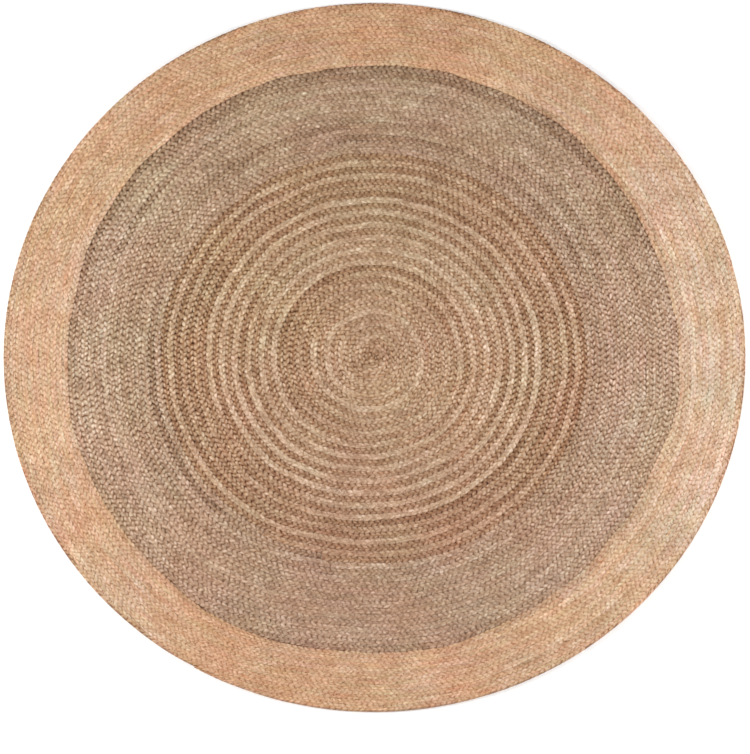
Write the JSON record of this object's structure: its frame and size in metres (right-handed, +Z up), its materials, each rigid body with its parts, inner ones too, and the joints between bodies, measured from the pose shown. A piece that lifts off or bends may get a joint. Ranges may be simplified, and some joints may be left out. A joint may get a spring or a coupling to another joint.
{
  "type": "round braided jute rug",
  "caption": "Round flat rug of plaited jute braid coiled and sewn edge to edge, with a ringed brown centre, a grey-brown field and a pale border.",
  "frame": {"origin": "centre of the rug's underside, on the floor", "axes": "+Z up through the rug's thickness; the picture is seen from -Y, with +X to the right"},
  "size_m": [1.2, 1.2, 0.008],
  "materials": {
    "centre_jute": "matt plaited jute, golden brown with darker and paler rings",
    "field_jute": "matt plaited jute, grey-brown",
    "border_jute": "matt plaited jute, pale natural gold with a slight sheen"
  },
  "bodies": {
    "root": {"centre_coil": "centre_jute", "field_coil": "field_jute", "border_coil": "border_jute"}
  },
  "joints": []
}
